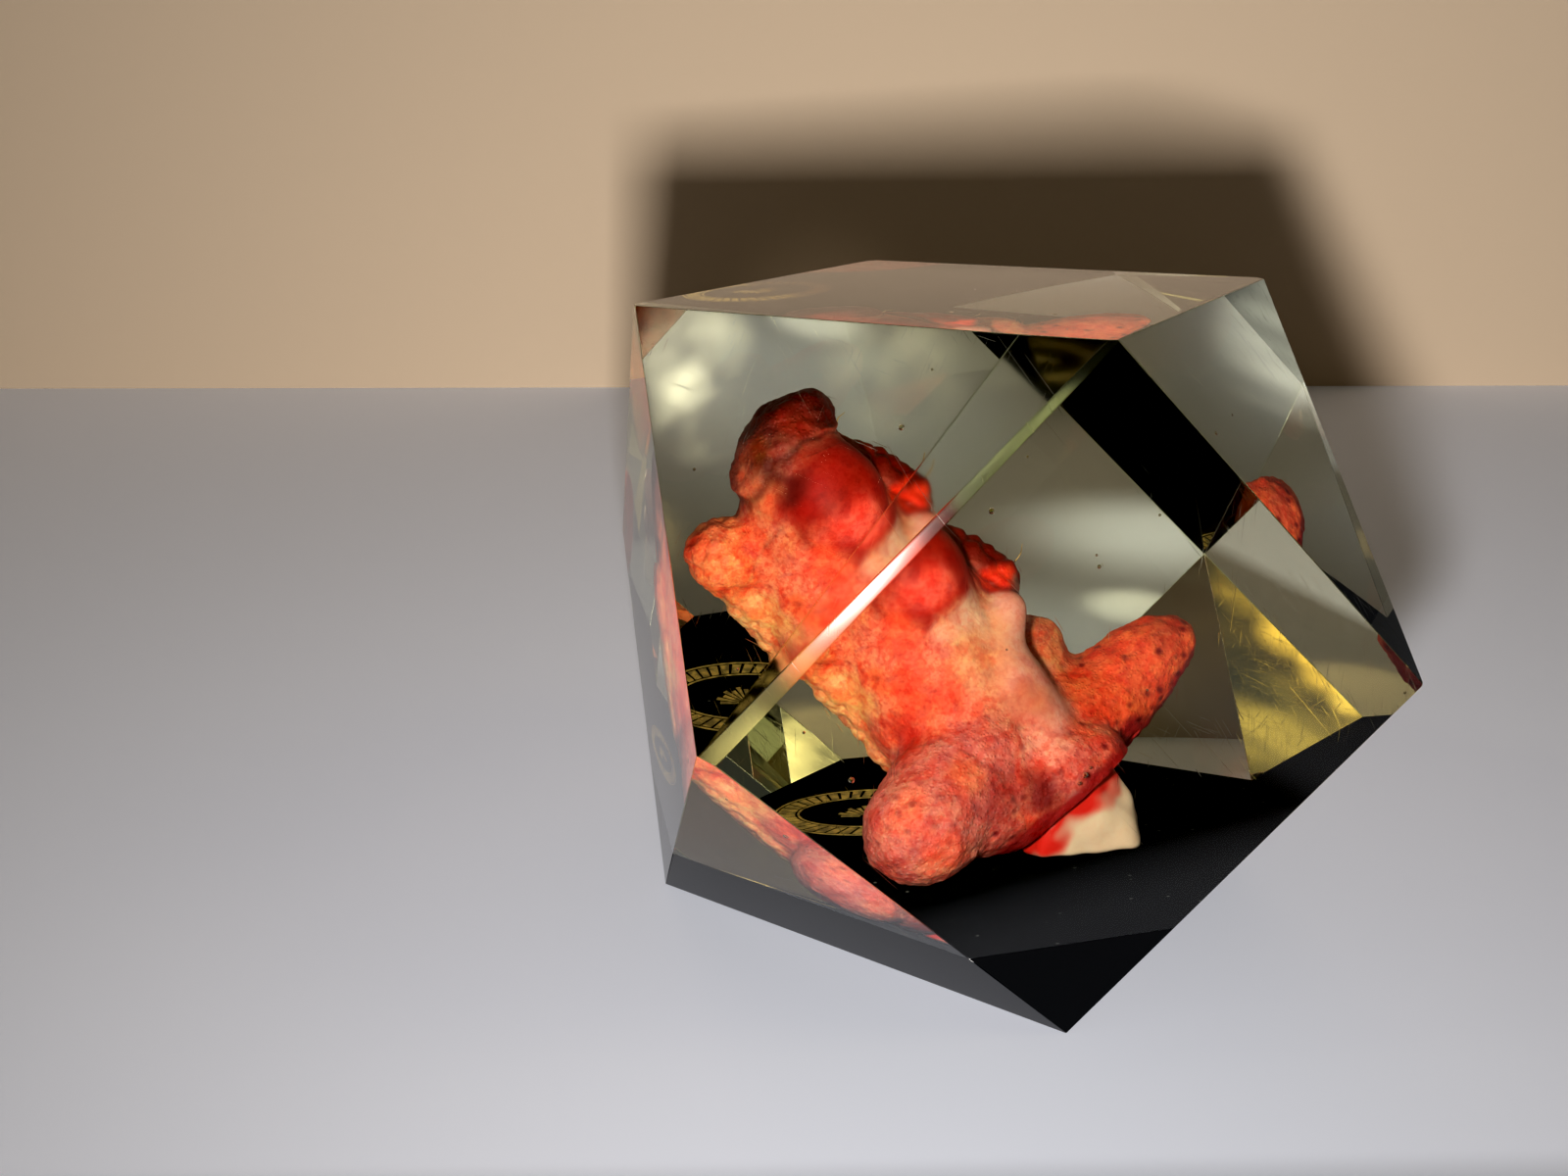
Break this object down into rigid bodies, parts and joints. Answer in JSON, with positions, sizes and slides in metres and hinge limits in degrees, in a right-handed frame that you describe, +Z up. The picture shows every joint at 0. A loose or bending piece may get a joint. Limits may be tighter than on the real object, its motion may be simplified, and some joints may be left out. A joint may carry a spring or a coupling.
{
  "type": "coral in resin block",
  "caption": "Faceted clear resin paperweight on a black resin base layer, with a branching piece of red coral cast inside.",
  "frame": {"origin": "middle of the flat underside of the black base layer", "axes": "+Z up; the front of the block faces -Y and +X is to the right of someone looking at the front"},
  "size_m": [0.064, 0.064, 0.0628],
  "materials": {
    "clear_resin": "polished",
    "black_resin": "gloss",
    "gold_foil": "satin",
    "coral_rind": "satin",
    "coral_dark_rind": "satin",
    "coral_brown_rind": "satin",
    "coral_salmon_rind": "satin",
    "coral_core": "satin"
  },
  "bodies": {
    "root": {"black_base": "black_resin", "gold_label": "gold_foil", "resin_lower": "clear_resin", "resin_upper": "clear_resin", "coral_trunk": "coral_rind", "coral_top_knob": "coral_dark_rind", "coral_left_knob": "coral_rind", "coral_small_bump": "coral_brown_rind", "coral_finger": "coral_rind", "coral_lower_lobe": "coral_salmon_rind", "coral_white_core": "coral_core"}
  },
  "joints": []
}
